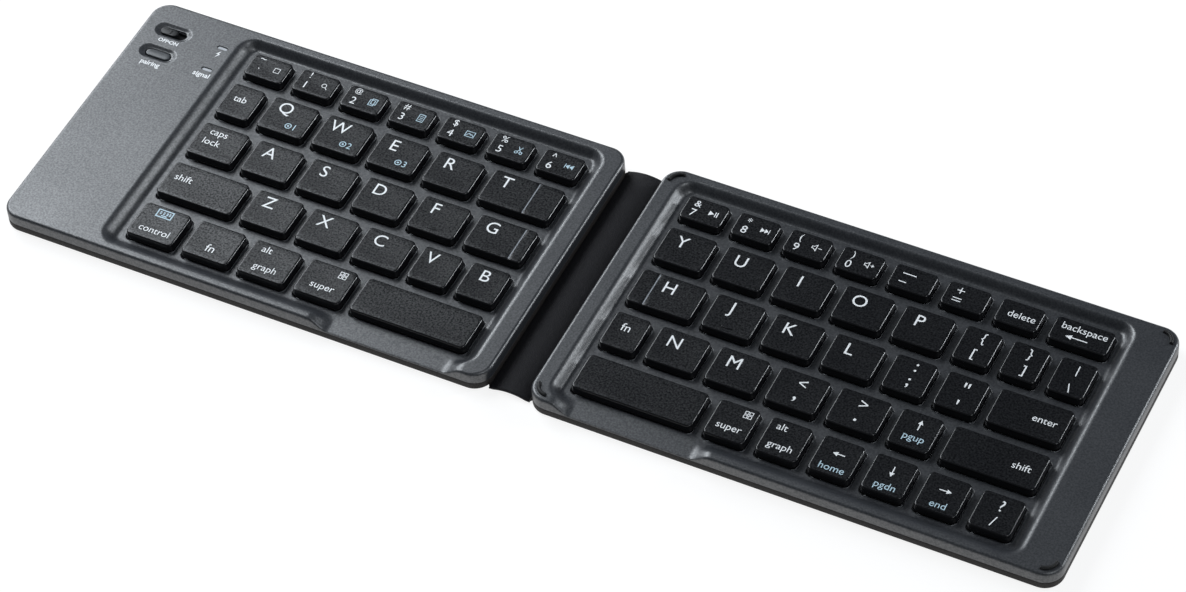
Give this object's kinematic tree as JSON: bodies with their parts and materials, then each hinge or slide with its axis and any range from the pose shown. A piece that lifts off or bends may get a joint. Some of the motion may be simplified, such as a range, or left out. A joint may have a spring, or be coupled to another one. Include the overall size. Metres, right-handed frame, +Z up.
{
  "type": "keyboard",
  "caption": "Bi-fold wireless keyboard with island keys, raised grey rims, thumb scoops and a soft dark leather spine and underside",
  "frame": {"origin": "on the table under the middle of the spine", "axes": "+X along the long side towards the right half, +Y to the back, +Z up"},
  "size_m": [0.3428, 0.098, 0.0076],
  "materials": {
    "key_plastic": "moulded, fine matt texture",
    "leather": "grained leather-like skin",
    "lining_leather": "soft fine grain",
    "frame_plastic": "satin, fine grain",
    "case_plastic": "moulded",
    "control_plastic": "satin",
    "switch_metal": "stamped",
    "socket_steel": "stamped",
    "plate_steel": "stamped sheet",
    "screw_steel": "zinc plated",
    "magnet_nickel": "nickel plated",
    "dome_rubber": "moulded silicone",
    "bumper_rubber": "matt",
    "battery_foil": "foil pouch",
    "board_laminate": "solder mask",
    "cable_film": "polyimide film",
    "light_plastic": "clear, diffuse"
  },
  "bodies": {
    "spine": {"spine_leather": "leather", "spine_lining": "lining_leather", "spine_cable": "cable_film"},
    "left_half": {"left_leather": "leather", "left_case": "case_plastic", "left_frame": "frame_plastic", "left_key_plate": "plate_steel", "left_dome_sheet": "dome_rubber", "battery": "battery_foil", "circuit_board": "board_laminate", "usb_socket": "socket_steel", "board_switches": "switch_metal", "light_guides": "light_plastic", "left_magnets": "magnet_nickel", "left_screws": "screw_steel"},
    "right_half": {"right_leather": "leather", "right_case": "case_plastic", "right_frame": "frame_plastic", "right_key_plate": "plate_steel", "right_dome_sheet": "dome_rubber", "corner_bumpers": "bumper_rubber", "right_magnets": "magnet_nickel", "right_screws": "screw_steel"},
    "power_slider": {"power_slider": "control_plastic"},
    "pairing_button": {"pairing_button": "control_plastic"},
    "key_q": {"key_q": "key_plastic"},
    "key_w": {"key_w": "key_plastic"},
    "key_e": {"key_e": "key_plastic"},
    "key_r": {"key_r": "key_plastic"},
    "key_t": {"key_t": "key_plastic"},
    "key_a": {"key_a": "key_plastic"},
    "key_s": {"key_s": "key_plastic"},
    "key_d_letter": {"key_d_letter": "key_plastic"},
    "key_f": {"key_f": "key_plastic"},
    "key_g": {"key_g": "key_plastic"},
    "key_z": {"key_z": "key_plastic"},
    "key_x_letter": {"key_x_letter": "key_plastic"},
    "key_c": {"key_c": "key_plastic"},
    "key_v": {"key_v": "key_plastic"},
    "key_b": {"key_b": "key_plastic"},
    "left_space_key": {"left_space_key": "key_plastic"},
    "left_number_keys": {"left_number_keys": "key_plastic"},
    "left_side_keys": {"left_side_keys": "key_plastic"},
    "key_y": {"key_y": "key_plastic"},
    "key_u": {"key_u": "key_plastic"},
    "key_i": {"key_i": "key_plastic"},
    "key_o": {"key_o": "key_plastic"},
    "key_p": {"key_p": "key_plastic"},
    "key_h": {"key_h": "key_plastic"},
    "key_j": {"key_j": "key_plastic"},
    "key_k": {"key_k": "key_plastic"},
    "key_l": {"key_l": "key_plastic"},
    "key_n": {"key_n": "key_plastic"},
    "key_m": {"key_m": "key_plastic"},
    "right_space_key": {"right_space_key": "key_plastic"},
    "enter_key": {"enter_key": "key_plastic"},
    "right_number_keys": {"right_number_keys": "key_plastic"},
    "punctuation_keys": {"punctuation_keys": "key_plastic"},
    "right_modifier_keys": {"right_modifier_keys": "key_plastic"},
    "arrow_keys": {"arrow_keys": "key_plastic"}
  },
  "joints": [
    {"name": "left_fold", "type": "hinge", "parent": "spine", "child": "left_half", "pos_m": [-0.0055, 0, 0.0018], "axis": [0, 1, 0], "range_deg": [0, 90]},
    {"name": "right_fold", "type": "hinge", "parent": "spine", "child": "right_half", "pos_m": [0.0055, 0, 0.0018], "axis": [0, -1, 0], "range_deg": [0, 90]},
    {"name": "power_slide", "type": "slide", "parent": "left_half", "child": "power_slider", "axis": [1, 0, 0], "range_m": [0, 0.0024]},
    {"name": "pairing_press", "type": "slide", "parent": "left_half", "child": "pairing_button", "axis": [0, 0, -1], "range_m": [0, 0.0005], "stiffness_N_per_m": 600, "springref_m": -0.0003},
    {"name": "key_q_press", "type": "slide", "parent": "left_half", "child": "key_q", "axis": [0, 0, -1], "range_m": [0, 0.0015], "stiffness_N_per_m": 400, "springref_m": -0.0005, "deforming": ["left_dome_sheet"]},
    {"name": "key_w_press", "type": "slide", "parent": "left_half", "child": "key_w", "axis": [0, 0, -1], "range_m": [0, 0.0015], "stiffness_N_per_m": 400, "springref_m": -0.0005, "deforming": ["left_dome_sheet"]},
    {"name": "key_e_press", "type": "slide", "parent": "left_half", "child": "key_e", "axis": [0, 0, -1], "range_m": [0, 0.0015], "stiffness_N_per_m": 400, "springref_m": -0.0005, "deforming": ["left_dome_sheet"]},
    {"name": "key_r_press", "type": "slide", "parent": "left_half", "child": "key_r", "axis": [0, 0, -1], "range_m": [0, 0.0015], "stiffness_N_per_m": 400, "springref_m": -0.0005, "deforming": ["left_dome_sheet"]},
    {"name": "key_t_press", "type": "slide", "parent": "left_half", "child": "key_t", "axis": [0, 0, -1], "range_m": [0, 0.0015], "stiffness_N_per_m": 400, "springref_m": -0.0005, "deforming": ["left_dome_sheet"]},
    {"name": "key_a_press", "type": "slide", "parent": "left_half", "child": "key_a", "axis": [0, 0, -1], "range_m": [0, 0.0015], "stiffness_N_per_m": 400, "springref_m": -0.0005, "deforming": ["left_dome_sheet"]},
    {"name": "key_s_press", "type": "slide", "parent": "left_half", "child": "key_s", "axis": [0, 0, -1], "range_m": [0, 0.0015], "stiffness_N_per_m": 400, "springref_m": -0.0005, "deforming": ["left_dome_sheet"]},
    {"name": "key_d_letter_press", "type": "slide", "parent": "left_half", "child": "key_d_letter", "axis": [0, 0, -1], "range_m": [0, 0.0015], "stiffness_N_per_m": 400, "springref_m": -0.0005, "deforming": ["left_dome_sheet"]},
    {"name": "key_f_press", "type": "slide", "parent": "left_half", "child": "key_f", "axis": [0, 0, -1], "range_m": [0, 0.0015], "stiffness_N_per_m": 400, "springref_m": -0.0005, "deforming": ["left_dome_sheet"]},
    {"name": "key_g_press", "type": "slide", "parent": "left_half", "child": "key_g", "axis": [0, 0, -1], "range_m": [0, 0.0015], "stiffness_N_per_m": 400, "springref_m": -0.0005, "deforming": ["left_dome_sheet"]},
    {"name": "key_z_press", "type": "slide", "parent": "left_half", "child": "key_z", "axis": [0, 0, -1], "range_m": [0, 0.0015], "stiffness_N_per_m": 400, "springref_m": -0.0005, "deforming": ["left_dome_sheet"]},
    {"name": "key_x_letter_press", "type": "slide", "parent": "left_half", "child": "key_x_letter", "axis": [0, 0, -1], "range_m": [0, 0.0015], "stiffness_N_per_m": 400, "springref_m": -0.0005, "deforming": ["left_dome_sheet"]},
    {"name": "key_c_press", "type": "slide", "parent": "left_half", "child": "key_c", "axis": [0, 0, -1], "range_m": [0, 0.0015], "stiffness_N_per_m": 400, "springref_m": -0.0005, "deforming": ["left_dome_sheet"]},
    {"name": "key_v_press", "type": "slide", "parent": "left_half", "child": "key_v", "axis": [0, 0, -1], "range_m": [0, 0.0015], "stiffness_N_per_m": 400, "springref_m": -0.0005, "deforming": ["left_dome_sheet"]},
    {"name": "key_b_press", "type": "slide", "parent": "left_half", "child": "key_b", "axis": [0, 0, -1], "range_m": [0, 0.0015], "stiffness_N_per_m": 400, "springref_m": -0.0005, "deforming": ["left_dome_sheet"]},
    {"name": "left_space_key_press", "type": "slide", "parent": "left_half", "child": "left_space_key", "axis": [0, 0, -1], "range_m": [0, 0.0015], "stiffness_N_per_m": 400, "springref_m": -0.0005, "deforming": ["left_dome_sheet"]},
    {"name": "left_number_keys_press", "type": "slide", "parent": "left_half", "child": "left_number_keys", "axis": [0, 0, -1], "range_m": [0, 0.0015], "stiffness_N_per_m": 1600, "springref_m": -0.0005, "deforming": ["left_dome_sheet"]},
    {"name": "left_side_keys_press", "type": "slide", "parent": "left_half", "child": "left_side_keys", "axis": [0, 0, -1], "range_m": [0, 0.0015], "stiffness_N_per_m": 1600, "springref_m": -0.0005, "deforming": ["left_dome_sheet"]},
    {"name": "key_y_press", "type": "slide", "parent": "right_half", "child": "key_y", "axis": [0, 0, -1], "range_m": [0, 0.0015], "stiffness_N_per_m": 400, "springref_m": -0.0005, "deforming": ["right_dome_sheet"]},
    {"name": "key_u_press", "type": "slide", "parent": "right_half", "child": "key_u", "axis": [0, 0, -1], "range_m": [0, 0.0015], "stiffness_N_per_m": 400, "springref_m": -0.0005, "deforming": ["right_dome_sheet"]},
    {"name": "key_i_press", "type": "slide", "parent": "right_half", "child": "key_i", "axis": [0, 0, -1], "range_m": [0, 0.0015], "stiffness_N_per_m": 400, "springref_m": -0.0005, "deforming": ["right_dome_sheet"]},
    {"name": "key_o_press", "type": "slide", "parent": "right_half", "child": "key_o", "axis": [0, 0, -1], "range_m": [0, 0.0015], "stiffness_N_per_m": 400, "springref_m": -0.0005, "deforming": ["right_dome_sheet"]},
    {"name": "key_p_press", "type": "slide", "parent": "right_half", "child": "key_p", "axis": [0, 0, -1], "range_m": [0, 0.0015], "stiffness_N_per_m": 400, "springref_m": -0.0005, "deforming": ["right_dome_sheet"]},
    {"name": "key_h_press", "type": "slide", "parent": "right_half", "child": "key_h", "axis": [0, 0, -1], "range_m": [0, 0.0015], "stiffness_N_per_m": 400, "springref_m": -0.0005, "deforming": ["right_dome_sheet"]},
    {"name": "key_j_press", "type": "slide", "parent": "right_half", "child": "key_j", "axis": [0, 0, -1], "range_m": [0, 0.0015], "stiffness_N_per_m": 400, "springref_m": -0.0005, "deforming": ["right_dome_sheet"]},
    {"name": "key_k_press", "type": "slide", "parent": "right_half", "child": "key_k", "axis": [0, 0, -1], "range_m": [0, 0.0015], "stiffness_N_per_m": 400, "springref_m": -0.0005, "deforming": ["right_dome_sheet"]},
    {"name": "key_l_press", "type": "slide", "parent": "right_half", "child": "key_l", "axis": [0, 0, -1], "range_m": [0, 0.0015], "stiffness_N_per_m": 400, "springref_m": -0.0005, "deforming": ["right_dome_sheet"]},
    {"name": "key_n_press", "type": "slide", "parent": "right_half", "child": "key_n", "axis": [0, 0, -1], "range_m": [0, 0.0015], "stiffness_N_per_m": 400, "springref_m": -0.0005, "deforming": ["right_dome_sheet"]},
    {"name": "key_m_press", "type": "slide", "parent": "right_half", "child": "key_m", "axis": [0, 0, -1], "range_m": [0, 0.0015], "stiffness_N_per_m": 400, "springref_m": -0.0005, "deforming": ["right_dome_sheet"]},
    {"name": "right_space_key_press", "type": "slide", "parent": "right_half", "child": "right_space_key", "axis": [0, 0, -1], "range_m": [0, 0.0015], "stiffness_N_per_m": 400, "springref_m": -0.0005, "deforming": ["right_dome_sheet"]},
    {"name": "enter_key_press", "type": "slide", "parent": "right_half", "child": "enter_key", "axis": [0, 0, -1], "range_m": [0, 0.0015], "stiffness_N_per_m": 400, "springref_m": -0.0005, "deforming": ["right_dome_sheet"]},
    {"name": "right_number_keys_press", "type": "slide", "parent": "right_half", "child": "right_number_keys", "axis": [0, 0, -1], "range_m": [0, 0.0015], "stiffness_N_per_m": 1600, "springref_m": -0.0005, "deforming": ["right_dome_sheet"]},
    {"name": "punctuation_keys_press", "type": "slide", "parent": "right_half", "child": "punctuation_keys", "axis": [0, 0, -1], "range_m": [0, 0.0015], "stiffness_N_per_m": 1600, "springref_m": -0.0005, "deforming": ["right_dome_sheet"]},
    {"name": "right_modifier_keys_press", "type": "slide", "parent": "right_half", "child": "right_modifier_keys", "axis": [0, 0, -1], "range_m": [0, 0.0015], "stiffness_N_per_m": 1600, "springref_m": -0.0005, "deforming": ["right_dome_sheet"]},
    {"name": "arrow_keys_press", "type": "slide", "parent": "right_half", "child": "arrow_keys", "axis": [0, 0, -1], "range_m": [0, 0.0015], "stiffness_N_per_m": 1600, "springref_m": -0.0005, "deforming": ["right_dome_sheet"]}
  ],
  "couplings": [
    {"joint": "right_fold", "follows": "left_fold", "ratio": 1}
  ]
}
